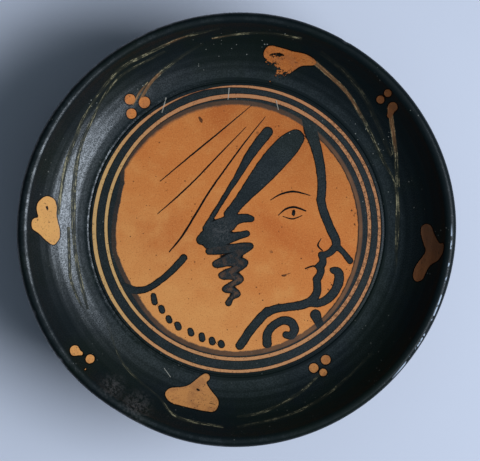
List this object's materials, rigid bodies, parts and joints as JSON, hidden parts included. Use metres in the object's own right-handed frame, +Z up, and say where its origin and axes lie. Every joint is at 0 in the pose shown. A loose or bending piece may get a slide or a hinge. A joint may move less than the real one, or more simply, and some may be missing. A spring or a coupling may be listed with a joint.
{
  "type": "stemmed plate",
  "caption": "Round fired-clay plate with a flat floor, rising wall and rounded lip, on a short stem with a spreading hollow foot.",
  "frame": {"origin": "centre of the ring under the foot that the plate stands on", "axes": "+Z up along the plate's axis of revolution; +Y towards the top of the painted head, +X towards the side that the head faces"},
  "size_m": [0.15, 0.15, 0.052],
  "materials": {
    "slip_painted_clay": "black gloss slip over orange fired clay, satin to glossy"
  },
  "bodies": {
    "root": {"plate": "slip_painted_clay"}
  },
  "joints": []
}
